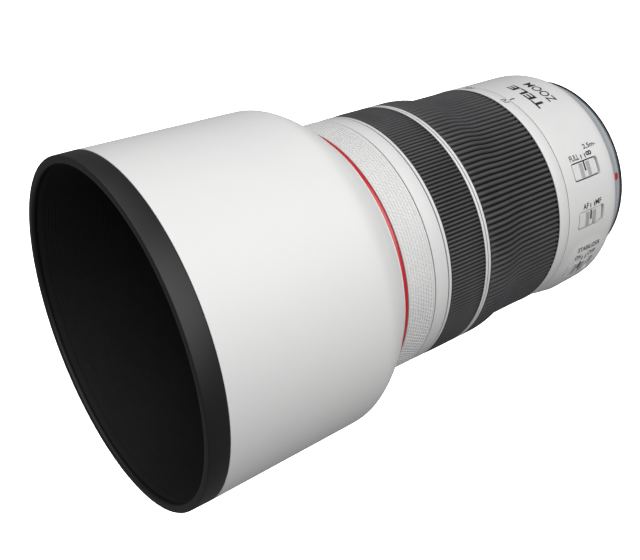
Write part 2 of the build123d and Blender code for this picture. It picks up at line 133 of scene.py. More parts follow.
floor_drop = 1.0
floor_mesh = bmesh.new()
bmesh.ops.create_grid(floor_mesh, x_segments=1, y_segments=1, size=8.0)
bmesh.ops.translate(floor_mesh, verts=floor_mesh.verts, vec=(0, 0, -floor_drop))
floor_data = bpy.data.meshes.new("floor")
floor_mesh.to_mesh(floor_data)
floor_mesh.free()
floor_data.materials.append(grained("white paper sweep", "#f9f9f9", "#fdfdfd", 0.4, 0.002, 0.00002, 0.9))
floor = bpy.data.objects.new("floor", floor_data)
bpy.context.scene.collection.objects.link(floor)
floor.visible_diffuse = False
floor.visible_glossy = False

world = bpy.data.worlds.new("white room")
bpy.context.scene.world = world
world.use_nodes = True
world.node_tree.nodes["Background"].inputs["Color"].default_value = linear("#ffffff")
world.node_tree.nodes["Background"].inputs["Strength"].default_value = 0.17
middle = Vector((0, -0.085, 0))
for name, direction, reach, size, power in (
    ("switch side softbox", (0.70, -0.20, 0.60), 0.9, 0.8, 2.55),
    ("overhead softbox", (0.15, -0.35, 0.92), 0.9, 0.8, 2.35),
    ("far side softbox", (-0.50, -0.20, 0.80), 0.9, 0.8, 1.9),
    ("mount side softbox", (0.50, 0.30, 0.80), 0.9, 0.8, 3.4),
    ("far side fill", (-0.85, 0.45, -0.25), 0.9, 0.8, 2.6),
    ("floor wash", (0.0, 0.0, -1.0), 0.45, 7.0, 400.0),
):
    light = bpy.data.lights.new(name, "AREA")
    light.size = size
    light.energy = power
    lamp = bpy.data.objects.new(name, light)
    bpy.context.scene.collection.objects.link(lamp)
    lamp.location = middle + Vector(direction).normalized() * reach
    if direction[2] > 0:
        lamp.rotation_euler = (lamp.location - middle).to_track_quat("Z", "Y").to_euler()

# ---- Inner pieces ------------------------------------------------------------------------------------------
# Tubes, cells and drives that the barrel hides. The tubes are turned and anodised alloy, the iris and the
# stabiliser are moulded in black, the shafts are ground steel, and the elements are coated glass.
satin_alloy = grained("black anodised alloy", "#121214", "#1b1b1e", 0.02, 0.0004, 0.00001, 0.42, Metallic=0.5)
moulded_black = grained("black glass-filled nylon", "#101011", "#171718", 0.01, 0.0003, 0.00002, 0.6)
ground_steel = grained("ground steel", "#9a9b9d", "#aeb0b2", 0.004, 0.0002, 0.000005, 0.28, Metallic=1.0)
gold_plate = grained("gold-plated copper", "#d9a850", "#e6bb66", 0.002, 0.0002, 0.000004, 0.22, Metallic=1.0)
laminate = grained("green glass-epoxy laminate", "#0e3d22", "#14522e", 0.003, 0.0003, 0.00001, 0.35)
coated_glass = grained(
    "coated optical glass", "#e9f2ee", "#eef4fa", 0.03, 0.001, 0.0, 0.06,
    IOR=1.6, Transmission_Weight=1.0, Coat_Weight=0.4, Coat_Roughness=0.02,
)
blade_black = grained(
    "blackened blade steel", "#161617", "#202022", 0.004, 0.0002, 0.000005, 0.38, Metallic=0.7
)
by_slot = {
    "alloy_black": satin_alloy,
    "black_plastic": moulded_black,
    "steel": ground_steel,
    "gold": gold_plate,
    "circuit": laminate,
    "optical_glass": coated_glass,
}
slots = {part["node"]: part["material_slot"] for part in frame["record"]["subparts"]}
for node, piece in frame["nodes"].items():
    finish = blade_black if node.startswith("iris_blade") else by_slot.get(slots[node])
    if finish:
        piece.data.materials.clear()
        piece.data.materials.append(finish)

# ---- Mount -------------------------------------------------------------------------------------------------
# A brass ring, turned, chromed and brushed, with a spigot and three bayonet lugs, held by four screws. Ahead
# of it come a black rubber seal and a bright coned collar with the red dot that lines up with the camera's.
satin_chrome = new_finish("satin chromed brass, lathe turned")
place = add_node(satin_chrome, "ShaderNodeTexCoord", {}).outputs["Object"]
turning_pitch = 0.35 * mm
rings = add_node(
    satin_chrome,
    "ShaderNodeTexWave",
    {"Vector": place, "Scale": 1 / turning_pitch / 20, "Distortion": 0.3, "Detail": 1.0},
    wave_type="RINGS",
    rings_direction="Y",
)
smear = add_node(satin_chrome, "ShaderNodeTexNoise", {"Vector": place, "Scale": 250.0, "Detail": 2.0})
rough = add_node(
    satin_chrome, "ShaderNodeMapRange", {"Value": smear.outputs["Fac"], "To Min": 0.24, "To Max": 0.38}
)
bump = add_node(
    satin_chrome, "ShaderNodeBump", {"Height": rings.outputs["Fac"], "Strength": 0.25, "Distance": 0.00001}
)
surface(
    satin_chrome,
    Base_Color=linear("#a9b0b6"),
    Metallic=1.0,
    Roughness=rough.outputs["Result"],
    Normal=bump.outputs["Normal"],
)
black_rubber = grained("black silicone rubber", "#0d0d0d", "#141414", 0.01, 0.0004, 0.00002, 0.5)
frame["nodes"]["mount_ring"].data.materials.clear()
frame["nodes"]["mount_ring"].data.materials.append(satin_chrome)
frame["nodes"]["mount_seal"].data.materials.clear()
frame["nodes"]["mount_seal"].data.materials.append(black_rubber)


def turned(outline, steps=256):
    """Spins a closed outline of (radius, y) points about the optical axis."""
    mesh = bmesh.new()
    verts = [mesh.verts.new((radius, y, 0)) for radius, y in outline]
    edges = [mesh.edges.new(pair) for pair in zip(verts, verts[1:] + verts[:1])]
    bmesh.ops.spin(
        mesh, geom=verts + edges, cent=(0, 0, 0), axis=(0, 1, 0), angle=math.tau, steps=steps, use_merge=True
    )
    bmesh.ops.remove_doubles(mesh, verts=mesh.verts, dist=1e-6)
    bmesh.ops.recalc_face_normals(mesh, faces=mesh.faces)
    return mesh


def finish_piece(name, mesh, body, slot, finish, *nodes, crease=40):
    """Makes a mesh the piece that stands for some CAD nodes and rides on their body."""
    data = bpy.data.meshes.new(name)
    mesh.to_mesh(data)
    mesh.free()
    data.materials.append(finish)
    data.shade_smooth()
    data.set_sharp_from_angle(angle=math.radians(crease))
    piece = bpy.data.objects.new(name, data)
    bpy.context.scene.collection.objects.link(piece)
    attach(piece, body)
    if nodes:
        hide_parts(*nodes)
    return piece


flange_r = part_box("mount_ring")[1].x
collar_rear = 1.0 * mm
collar_front = 7.4 * mm
seal_band = turned(
    [
        (flange_r - 0.4 * mm, -0.5 * mm),
        (flange_r + 0.05 * mm, -0.5 * mm),
        (flange_r + 0.05 * mm, -collar_rear),
        (flange_r - 0.4 * mm, -collar_rear),
    ]
)
finish_piece("mount_seal_band", seal_band, "barrel", "soft_rubber", black_rubber)


def wrapped(mesh, radius_at, angle, y):
    """Lays a flat mesh on a round surface: its x runs round the lens, its y along it and its z outwards."""
    for vert in mesh.verts:
        across, along, height = vert.co
        here = y + along
        theta = angle + across / radius_at(angle, y)
        radius = radius_at(theta, here) + height
        vert.co = (radius * math.cos(theta), here, radius * math.sin(theta))
    bmesh.ops.recalc_face_normals(mesh, faces=mesh.faces)
    return mesh


def disc(radius, thick, segments=24):
    mesh = bmesh.new()
    bmesh.ops.create_cone(
        mesh, cap_ends=True, segments=segments, radius1=radius, radius2=radius, depth=thick
    )
    return mesh


red_enamel = grained("red enamel", "#b5121b", "#c4161f", 0.002, 0.0003, 0.00001, 0.35)
collar_shape = ((1.0, 34.85), (2.6, 34.95), (4.6, 35.55), (6.0, 36.35), (7.4, 37.15))
satin_collar = grained(
    "satin silver lacquer over brass", "#c4cacf", "#cdd2d6", 0.02, 0.0003, 0.000004, 0.36, Metallic=0.4
)
collar = turned(
    [(r * mm, -z * mm) for z, r in collar_shape] + [(35.6 * mm, -collar_front), (34.0 * mm, -collar_rear)]
)
finish_piece("mount_collar", collar, "barrel", "mount_metal", satin_collar, crease=30)


def between(x, points):
    """The height at x of a line through some points, which are in order of x."""
    for (x0, y0), (x1, y1) in zip(points, points[1:]):
        if x <= x1:
            return y0 + (y1 - y0) * max(x - x0, 0) / (x1 - x0)
    return points[-1][1]


dot = wrapped(
    disc(1.3 * mm, 0.3 * mm),
    lambda theta, y: between(-y / mm, collar_shape) * mm,
    math.radians(31),
    -3.6 * mm,
)
finish_piece("mount_dot", dot, "barrel", "red_ring", red_enamel)

# ---- Rear barrel -------------------------------------------------------------------------------------------
# A magnesium casting in off-white baked enamel, with a rounded panel blended into it for the lower switches.
# Windows through its wall hold the slide switches.
white_enamel = grained(
    "off-white baked enamel", "#dedede", "#e3e3e2", 0.03, 0.00035, 0.000012, 0.42, Coat_Weight=0.08,
    Coat_Roughness=0.3,
)
barrel_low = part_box("rear_barrel")[0]
barrel_r = -barrel_low.x
barrel_front = -barrel_low.y
body_shape = ((7.4, 37.2), (8.2, 37.82), (9.0, 38.25), (10.2, 38.62), (11.6, 38.84), (13.0, 38.9))
panel_r = 30.0 * mm
panel_rise = 1.4 * mm
panel_angle = math.radians(-20.8)
panel_offset = barrel_r + panel_rise - panel_r
panel_drop = (
    (7.4, 1.9), (9.0, 1.25), (10.5, 0.75), (12.0, 0.4), (14.0, 0.18), (17.0, 0.04), (20.0, 0.0), (25.0, 0.0),
    (27.5, 0.1), (30.0, 0.4), (32.0, 0.85), (33.5, 1.25), (34.5, 1.6),
)


def barrel_radius(theta, y):
    """Outside of the rear barrel: coned down to the collar, and the switch panel's hump where it is proud."""
    body = between(-y / mm, body_shape) * mm
    radius = panel_r - between(-y / mm, panel_drop) * mm
    swing = theta - panel_angle
    reach = radius**2 - (panel_offset * math.sin(swing)) ** 2
    hump = panel_offset * math.cos(swing) + math.sqrt(max(reach, 0))
    crease = 0.12 * mm
    return 0.5 * (body + hump + math.sqrt((body - hump) ** 2 + crease**2))


rows = 36
outer = 50 * mm  # stands for the skin until barrel_radius gives each point its place
skin_rows = [(outer, -(collar_front + (barrel_front - collar_front) * i / rows)) for i in range(rows + 1)]
wall = 1.3 * mm
inner_rows = [(barrel_r - wall, -barrel_front), (barrel_r - wall, -9.2 * mm), (35.7 * mm, -collar_front)]
barrel = turned(skin_rows + inner_rows, steps=360)
edge_break = 0.1 * mm
for vert in barrel.verts:
    if math.hypot(vert.co.x, vert.co.z) > outer - mm:
        theta = math.atan2(vert.co.z, vert.co.x)
        radius = barrel_radius(theta, vert.co.y)
        if -vert.co.y > barrel_front - 1e-6:
            radius -= edge_break
        vert.co = (radius * math.cos(theta), vert.co.y, radius * math.sin(theta))

window_length = 13.5 * mm
window_width = 6.2 * mm
window_rear = 16.1 * mm
window_y = -(window_rear + window_length / 2)
switch_angles = {
    "limiter_switch": 42.1,
    "focus_switch": 17.7,
    "stabiliser_switch": -11.8,
    "mode_switch": -35.3,
    "zoom_lock": 170.0,
}


def plate(width, length, thick, corner, lift):
    """A flat block with rounded corners, which is sliced finely afterwards so that it can be laid on the
    barrel.
    """
    mesh = bmesh.new()
    bmesh.ops.create_cube(mesh, size=1.0)
    bmesh.ops.scale(mesh, vec=(width, length, thick), verts=mesh.verts)
    bmesh.ops.translate(mesh, vec=(0, 0, lift), verts=mesh.verts)
    upright = [e for e in mesh.edges if abs(e.verts[0].co.z - e.verts[1].co.z) > thick / 2]
    bmesh.ops.bevel(
        mesh, geom=upright, offset=corner, segments=5, profile=0.5, affect="EDGES", material=-1
    )
    return mesh


def slice_along(mesh, axis, low, high, count):
    """Cuts a mesh across one axis at equal steps."""
    normal = [float(i == axis) for i in range(3)]
    for i in range(1, count):
        spot = [n * (low + (high - low) * i / count) for n in normal]
        geometry = mesh.verts[:] + mesh.edges[:] + mesh.faces[:]
        bmesh.ops.bisect_plane(mesh, geom=geometry, plane_co=spot, plane_no=normal)


cutters = bmesh.new()
for angle in switch_angles.values():
    cutter = plate(window_width, window_length, 12 * mm, 1.0 * mm, 0)
    slab = bpy.data.meshes.new("window")
    bmesh.ops.rotate(cutter, verts=cutter.verts, matrix=Matrix.Rotation(math.radians(90), 3, "Y"))
    bmesh.ops.translate(cutter, verts=cutter.verts, vec=(barrel_r, window_y, 0))
    bmesh.ops.rotate(
        cutter, verts=cutter.verts, cent=(0, 0, 0), matrix=Matrix.Rotation(-math.radians(angle), 3, "Y")
    )
    cutter.to_mesh(slab)
    cutter.free()
    cutters.from_mesh(slab)
    bpy.data.meshes.remove(slab)
cutter_data = bpy.data.meshes.new("windows")
cutters.to_mesh(cutter_data)
cutters.free()
windows = bpy.data.objects.new("windows", cutter_data)
bpy.context.scene.collection.objects.link(windows)
uncut_data = bpy.data.meshes.new("uncut barrel")
barrel.to_mesh(uncut_data)
barrel.free()
uncut = bpy.data.objects.new("uncut barrel", uncut_data)
bpy.context.scene.collection.objects.link(uncut)
cut = uncut.modifiers.new("windows", "BOOLEAN")
cut.object = windows
cut.operation = "DIFFERENCE"
cut.solver = "EXACT"
bpy.context.view_layer.update()
barrel = bmesh.new()
barrel.from_object(uncut, bpy.context.evaluated_depsgraph_get())
bpy.data.objects.remove(uncut)
bpy.data.objects.remove(windows)
finish_piece("rear_barrel_shell", barrel, "barrel", "white_paint", white_enamel, "rear_barrel", crease=35)

# ---- Slide switches ----------------------------------------------------------------------------------------
# Moulded sliders in the barrel's off-white, over a white plate that closes each window behind them. A slider
# has a black line that points at the chosen setting, between two patches of fine serrations painted grey as
# shade.
white_moulding = grained("off-white moulded acetal", "#dcdcdb", "#e1e1e0", 0.01, 0.0003, 0.00001, 0.45)
# the serrations' grey is painted shade on their flanks
serration_shade_grey = grained("grey moulded acetal", "#b2b2b2", "#bcbcbc", 0.01, 0.0003, 0.00001, 0.5)
black_ink = grained("black pad-printed ink", "#161616", "#1e1e1e", 0.002, 0.0002, 0.000002, 0.5)
switch_travel = 2.0 * mm
gap = 0.42 * mm
plate_width = window_width - 2 * gap
slider_length = window_length - switch_travel - 2 * gap
slider_y = -(window_rear + window_length - gap - slider_length / 2)
pointer_back = 0.55 * mm
for node, angle in switch_angles.items():
    spot = math.radians(angle)
    window_plate = plate(plate_width, window_length - 2 * gap, 0.6 * mm, 0.65 * mm, -1.05 * mm)
    slice_along(window_plate, 0, -plate_width / 2, plate_width / 2, 10)
    slice_along(window_plate, 1, -window_length / 2, window_length / 2, 10)
    wrapped(window_plate, barrel_radius, spot, window_y)
    finish_piece(node + "_window_plate", window_plate, "barrel", "white_hood", white_moulding, crease=35)
    slider = plate(plate_width, slider_length, 0.45 * mm, 0.65 * mm, -0.225 * mm)
    top = [e for e in slider.edges if e.verts[0].co.z > -1e-6 and e.verts[1].co.z > -1e-6]
    bmesh.ops.bevel(
        slider, geom=top, offset=0.1 * mm, segments=2, profile=0.5, affect="EDGES", material=-1
    )
    slice_along(slider, 0, -plate_width / 2, plate_width / 2, 10)
    slice_along(slider, 1, -slider_length / 2, slider_length / 2, 10)
    wrapped(slider, barrel_radius, spot, slider_y)
    finish_piece(node + "_slider", slider, node, "white_hood", white_moulding, node, crease=35)
    teeth = bmesh.new()
    for side in (-1, 1):
        for i in range(4):
            tooth = plate(plate_width - 0.5 * mm, 0.32 * mm, 0.3 * mm, 0.05 * mm, 0.06 * mm)
            bmesh.ops.translate(
                tooth, verts=tooth.verts, vec=(0, pointer_back + side * (1.15 + 0.42 * i) * mm, 0)
            )
            slice_along(tooth, 0, -plate_width / 2, plate_width / 2, 8)
            strip = bpy.data.meshes.new("tooth")
            tooth.to_mesh(strip)
            tooth.free()
            teeth.from_mesh(strip)
            bpy.data.meshes.remove(strip)
    wrapped(teeth, barrel_radius, spot, slider_y)
    finish_piece(node + "_serrations", teeth, node, "white_hood", serration_shade_grey)
    pointer = plate(0.58 * plate_width, 0.5 * mm, 0.3 * mm, 0.04 * mm, 0.06 * mm)
    bmesh.ops.translate(pointer, verts=pointer.verts, vec=(0.21 * plate_width, pointer_back, 0))
    slice_along(pointer, 0, -plate_width / 2, plate_width / 2, 8)
    wrapped(pointer, barrel_radius, spot, slider_y)
    finish_piece(node + "_pointer", pointer, node, "black_plastic", black_ink)

# ---- Printing on the barrel --------------------------------------------------------------------------------
# Black ink, pad printed on the enamel and baked: plain words at the top, the index line that the focal
# lengths come to, and beside each switch its settings and a mark for each place of the slider.
ink_thick = 0.02 * mm


def lettering(text, size, upright, bolder=0.04 * mm):
    """Flat letters about the middle; upright ones stand across the lens, others read along it."""
    curve = bpy.data.curves.new("letters", "FONT")
    curve.body = text
    curve.size = size
    curve.align_x = "CENTER"
    curve.align_y = "CENTER"
    curve.extrude = ink_thick
    curve.offset = bolder
    curve.resolution_u = 4
    holder = bpy.data.objects.new("letters", curve)
    bpy.context.scene.collection.objects.link(holder)
    bpy.context.view_layer.update()
    letters = bpy.data.meshes.new_from_object(holder.evaluated_get(bpy.context.evaluated_depsgraph_get()))
    mesh = bmesh.new()
    mesh.from_mesh(letters)
    bpy.data.objects.remove(holder)
    bpy.data.curves.remove(curve)
    bpy.data.meshes.remove(letters)
    for vert in mesh.verts:
        x, y, z = vert.co
        vert.co = (x, -y, z) if upright else (y, x, z)
    bmesh.ops.recalc_face_normals(mesh, faces=mesh.faces)
    return mesh


def print_on(name, mesh, body, radius_at, degrees, y):
    low = min(v.co.x for v in mesh.verts)
    high = max(v.co.x for v in mesh.verts)
    slice_along(mesh, 0, low, high, math.ceil((high - low) / (0.6 * mm)))
    wrapped(mesh, radius_at, math.radians(degrees), y)
    finish_piece(name, mesh, body, "black_plastic", black_ink)


def fitted(mesh, width, height):
    """Stretches flat letters to a width round the lens and a height along it, about the middle."""
    for axis, wanted in ((0, width), (1, height)):
        low = min(v.co[axis] for v in mesh.verts)
        high = max(v.co[axis] for v in mesh.verts)
        for vert in mesh.verts:
            vert.co[axis] = (vert.co[axis] - (low + high) / 2) * wanted / (high - low)
    return mesh


top = 90.3
word_tele = fitted(lettering("TELE", 4.6 * mm, True, 0.12 * mm), 15.6 * mm, 3.9 * mm)
print_on("word_tele", word_tele, "barrel", barrel_radius, top, -25.6 * mm)
word_zoom = fitted(lettering("ZOOM", 3.6 * mm, True), 13.0 * mm, 3.9 * mm)
print_on("word_zoom", word_zoom, "barrel", barrel_radius, top, -18.8 * mm)
tick = plate(0.5 * mm, 2.2 * mm, 0.04 * mm, 0.05 * mm, 0.01 * mm)
print_on("index_line", tick, "barrel", barrel_radius, top, -33.1 * mm)
# each word, its degrees above its window's middle, and its distance forward, length and height in millimetres
labels = {
    "limiter_switch": (("FULL", 6.9, 26.9, 4.7, 2.0), ("2.5m-", 10.6, 17.5, 6.6, 1.7)),
    "focus_switch": (("AF", 6.8, 25.9, 2.9, 1.9), ("MF", 6.8, 19.2, 3.2, 1.9)),
    "stabiliser_switch": (
        ("STABILIZER", 12.2, 21.0, 12.0, 1.8), ("ON", 7.8, 25.9, 3.0, 1.8), ("OFF", 7.8, 18.6, 4.2, 1.8),
    ),
    "mode_switch": (("1", 6.8, 24.9, 0.8, 1.8), ("2", 6.8, 22.4, 1.2, 1.8), ("3", 6.8, 19.6, 1.2, 1.8)),
    "zoom_lock": (("LOCK", 6.8, 27.0, 5.0, 1.8),),
}
for node, words in labels.items():
    plain = node.replace("_switch", "")
    for word, above, forward, length, height in words:
        name = plain + "_" + "".join(c for c in word.lower() if c.isalnum())
        mesh = fitted(lettering(word, 2.0 * mm, False), height * mm, length * mm)
        print_on(name, mesh, "barrel", barrel_radius, switch_angles[node] + above, -forward * mm)
    for side, forward in enumerate((23.4, 21.4)):
        mark = plate(1.5 * mm, 0.45 * mm, 0.04 * mm, 0.04 * mm, 0.01 * mm)
        row = switch_angles[node] + 6.3
        print_on(f"{plain}_mark_{side + 1}", mark, "barrel", barrel_radius, row, -forward * mm)
far_sign = fitted(lettering("8", 2.0 * mm, True), 1.6 * mm, 2.9 * mm)
print_on("limiter_far", far_sign, "barrel", barrel_radius, switch_angles["limiter_switch"] + 6.9, -19.3 * mm)

# ---- Zoom ring ---------------------------------------------------------------------------------------------
# A white enamelled sleeve with the focal lengths printed on its bare rear end, and a wide grip of ribbed
# rubber stretched over its waist.
zoom_low, zoom_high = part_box("zoom_sleeve")
grip_low, grip_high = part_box("zoom_grip")
bore_r = 37.4 * mm
scale_r = barrel_r
lip_r = zoom_high.x + 0.08 * mm


def soften(mesh, width, segments=2, sharper_than=30):
    """Rounds every edge that turns by more than an angle."""
    sharp = [e for e in mesh.edges if e.calc_face_angle(0) > math.radians(sharper_than)]
    bmesh.ops.bevel(
        mesh, geom=sharp, offset=width, segments=segments, profile=0.5, affect="EDGES", material=-1,
        clamp_overlap=True,
    )
    return mesh


zoom_sleeve = turned(
    [
        (bore_r, zoom_high.y),
        (scale_r, zoom_high.y),
        (scale_r + 0.1 * mm, grip_high.y + 0.02 * mm),
        (scale_r - 1.0 * mm, grip_high.y + 0.02 * mm),
        (scale_r - 1.0 * mm, (grip_low.y + grip_high.y) / 2),
        (scale_r - 0.6 * mm, grip_low.y - 0.02 * mm),
        (lip_r, grip_low.y - 0.02 * mm),
        (lip_r, zoom_low.y),
        (bore_r, zoom_low.y),
    ]
)
soften(zoom_sleeve, 0.12 * mm)
finish_piece("zoom_sleeve_enamelled", zoom_sleeve, "zoom_ring", "white_paint", white_enamel, "zoom_sleeve")
# each focal length comes under the index line as the ring turns: degrees from the widest, printed length
for focal, swing, length in ((70, 0.0, 2.7), (100, 24.5, 3.8), (135, 46.0, 3.8), (200, 75.0, 4.1)):
    number = fitted(lettering(str(focal), 2.6 * mm, True), length * mm, 2.9 * mm)
    print_on(
        f"focal_{focal}", number, "zoom_ring", lambda theta, y: scale_r + 0.04 * mm, top + swing,
        (zoom_high.y + grip_high.y) / 2 + 0.3 * mm,
    )


def ribbed(ribs, section, stations, depth, wall):
    """A rubber sleeve: one ring of ribs is drawn out along the lens, then back inside as a plain skin."""
    mesh = bmesh.new()
    bmesh.ops.create_circle(
        mesh, segments=ribs * len(section), radius=stations[0][0], matrix=Matrix.Rotation(math.pi / 2, 4, "X")
    )
    first_r, first_y = stations[0]
    for vert in mesh.verts:
        theta = math.atan2(vert.co.z, vert.co.x) % math.tau
        index = round(theta / math.tau * ribs * len(section)) % len(section)
        share = 1 - depth * (1 - section[index]) / first_r
        vert.co = (vert.co.x * share, first_y, vert.co.z * share)
    loop = mesh.edges[:]
    start = loop
    path = stations[1:] + [(r - wall, y) for r, y in reversed(stations)]
    last_r, last_y = stations[0]
    for radius, y in path:
        grown = bmesh.ops.extrude_edge_only(mesh, edges=loop)["geom"]
        ring = [v for v in grown if isinstance(v, bmesh.types.BMVert)]
        bmesh.ops.scale(mesh, verts=ring, vec=(radius / last_r, 1, radius / last_r))
        bmesh.ops.translate(mesh, verts=ring, vec=(0, y - last_y, 0))
        loop = [e for e in grown if isinstance(e, bmesh.types.BMEdge)]
        last_r, last_y = radius, y
    bmesh.ops.bridge_loops(mesh, edges=start + loop)
    bmesh.ops.recalc_face_normals(mesh, faces=mesh.faces)
    # each point keeps its rib height, which the rubber's finish turns into painted groove shade and crest
    # highlight
    painted_shade_layer = mesh.verts.layers.float.new("crest")
    for vert in mesh.verts:
        theta = math.atan2(vert.co.z, vert.co.x) % math.tau
        index = round(theta / math.tau * ribs * len(section)) % len(section)
        vert[painted_shade_layer] = section[index]
    # a plain bead closes the grooves at each end
    bead = 0.35 * mm
    for end, inward in ((stations[:3], -bead), (stations[:-4:-1], bead)):
        radius, y = end[0]
        bead_r = max(r for r, _ in end) - 0.1 * mm
        rim = turned([(bead_r, y), (bead_r, y + inward), (radius - wall, y + inward), (radius - wall, y)])
        ring_data = bpy.data.meshes.new("bead")
        rim.to_mesh(ring_data)
        rim.free()
        mesh.from_mesh(ring_data)
        bpy.data.meshes.remove(ring_data)
    return mesh


# Moulded nitrile rubber, dull: painted shade makes the grooves blacker, a painted highlight greys the crests.
rubber = new_finish("moulded nitrile rubber")
place = add_node(rubber, "ShaderNodeTexCoord", {}).outputs["Object"]
crest = add_node(rubber, "ShaderNodeAttribute", {}, attribute_name="crest").outputs["Fac"]
crest_mottle = add_node(rubber, "ShaderNodeTexNoise", {"Vector": place, "Scale": 90.0, "Detail": 3.0}).outputs["Fac"]
crest_highlight = add_node(rubber, "ShaderNodeValToRGB", {"Fac": crest_mottle})
crest_highlight.color_ramp.elements[0].position = 0.35
crest_highlight.color_ramp.elements[0].color = linear("#424244")
crest_highlight.color_ramp.elements[1].position = 0.65
crest_highlight.color_ramp.elements[1].color = linear("#4c4c4e")
share = add_node(rubber, "ShaderNodeMapRange", {"Value": crest, "From Min": 0.25, "From Max": 0.95})
shade = add_node(
    rubber,
    "ShaderNodeMixRGB",
    {"Fac": share.outputs["Result"], "Color1": linear("#0a0a0a"), "Color2": crest_highlight.outputs["Color"]},
)
fine = add_node(rubber, "ShaderNodeTexNoise", {"Vector": place, "Scale": 1 / 0.0003, "Detail": 2.0})
bump = add_node(
    rubber, "ShaderNodeBump", {"Height": fine.outputs["Fac"], "Strength": 0.5, "Distance": 0.00002}
)
surface(rubber, Base_Color=shade.outputs["Color"], Roughness=0.6, Normal=bump.outputs["Normal"])
waist_r = barrel_r - 0.1 * mm
flare = grip_high.x - waist_r
grip_length = grip_high.y - grip_low.y
grip_shape = (
    (0.000, -0.10), (0.004, 0.07), (0.05, 0.06), (0.12, 0.02), (0.20, 0.0), (0.35, 0.0), (0.46, 0.01),
    (0.51, 0.05), (0.56, 0.15), (0.61, 0.36), (0.66, 0.60), (0.71, 0.82), (0.76, 0.95), (0.81, 1.0),
    (0.90, 0.99), (0.996, 0.97), (1.0, 0.80),
)
zoom_stations = [(waist_r + flare * rise, grip_high.y - grip_length * share) for share, rise in grip_shape]
broad_rib = (0.0, 0.45, 0.84, 1.0, 1.0, 0.84, 0.45)
zoom_grip = ribbed(144, broad_rib, zoom_stations, 0.8 * mm, 0.95 * mm)
finish_piece("zoom_grip_ribbed", zoom_grip, "zoom_ring", "grip_rubber", rubber, "zoom_grip", crease=80)

# ---- Focus ring --------------------------------------------------------------------------------------------
# The same make as the zoom ring: an enamelled sleeve with thin bare lips, and a narrow grip with finer ribs.
focus_low, focus_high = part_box("focus_sleeve")
rubber_low, rubber_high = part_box("focus_grip")
trim_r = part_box("trim_ring")[1].x
crest_r = rubber_high.x
focus_sleeve = turned(
    [
        (bore_r, focus_high.y),
        (lip_r, focus_high.y),
        (lip_r, rubber_high.y + 0.02 * mm),
        (crest_r - 1.6 * mm, rubber_high.y + 0.02 * mm),
        (crest_r - 1.6 * mm, rubber_low.y - 0.02 * mm),
        (trim_r + 0.10 * mm, rubber_low.y - 0.02 * mm),
        (trim_r + 0.10 * mm, focus_low.y),
        (bore_r, focus_low.y),
    ]
)
soften(focus_sleeve, 0.1 * mm)
finish_piece(
    "focus_sleeve_enamelled", focus_sleeve, "focus_ring", "white_paint", white_enamel, "focus_sleeve"
)
rubber_length = rubber_high.y - rubber_low.y
focus_shape = (
    (0.0, -0.2), (0.012, 0.0), (0.3, 0.0), (0.6, -0.02), (0.8, -0.12), (0.988, -0.22), (1.0, -0.4),
)
focus_stations = [
    (crest_r + rise * mm, rubber_high.y - rubber_length * share) for share, rise in focus_shape
]
fine_rib = (0.0, 0.6, 1.0, 1.0, 0.6)
focus_grip = ribbed(212, fine_rib, focus_stations, 0.55 * mm, 0.75 * mm)
finish_piece("focus_grip_ribbed", focus_grip, "focus_ring", "grip_rubber", rubber, "focus_grip", crease=80)

# ---- Trim ring and control ring ----------------------------------------------------------------------------
# Two turned alloy rings in the barrel's enamel. The trim ring is plain and fixed; the control ring turns with
# clicks and is knurled all over its face with small square studs.
trim_low, trim_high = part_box("trim_ring")
trim = turned(
    [(bore_r, trim_high.y), (trim_r, trim_high.y), (trim_r, trim_low.y), (bore_r, trim_low.y)]
)
soften(trim, 0.15 * mm)
finish_piece("trim_ring_enamelled", trim, "barrel", "white_paint", white_enamel, "trim_ring")

control_low, control_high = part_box("control_ring")
stud_height = 0.22 * mm
root_r = trim_r - stud_height
stud_rows = 9
stud_step = 0.99 * mm
field = stud_rows * stud_step
border = (control_high.y - control_low.y - field) / 2
control = turned(
    [
        (bore_r, control_high.y),
        (trim_r, control_high.y),
        (trim_r, control_high.y - border),
        (root_r, control_high.y - border - 0.05 * mm),
        (root_r, control_low.y + border + 0.05 * mm),
        (trim_r, control_low.y + border),
        (trim_r, control_low.y),
        (bore_r, control_low.y),
    ]
)
soften(control, 0.08 * mm, segments=1)
finish_piece("control_ring_base", control, "control_ring", "white_paint", white_enamel, "control_ring")
studs_round = 200
stud_width = math.tau * trim_r / studs_round * 0.80
stud_length = stud_step * 0.74
studs = bmesh.new()
for i in range(stud_rows):
    made = bmesh.ops.create_cube(studs, size=1.0)["verts"]
    y = control_low.y + border + stud_step * (i + 0.5)
    bmesh.ops.scale(studs, verts=made, vec=(stud_height, stud_length, stud_width))
    bmesh.ops.translate(studs, verts=made, vec=(trim_r - stud_height / 2, y, 0))
    for vert in made:
        if vert.co.x > trim_r - stud_height / 2:
            vert.co.z *= 0.88
            vert.co.y = y + (vert.co.y - y) * 0.88
    # every second row is set round by half a stud, like brickwork
    stagger = Matrix.Rotation(math.tau / studs_round * 0.5 * (i % 2), 3, "Y")
    bmesh.ops.rotate(studs, verts=made, cent=(0, 0, 0), matrix=stagger)
geometry = studs.verts[:] + studs.edges[:] + studs.faces[:]
bmesh.ops.spin(
    studs, geom=geometry, cent=(0, 0, 0), axis=(0, 1, 0), angle=math.tau * (studs_round - 1) / studs_round,
    steps=studs_round - 1, use_duplicate=True,
)
finish_piece("control_ring_knurl", studs, "control_ring", "white_paint", white_enamel, crease=20)
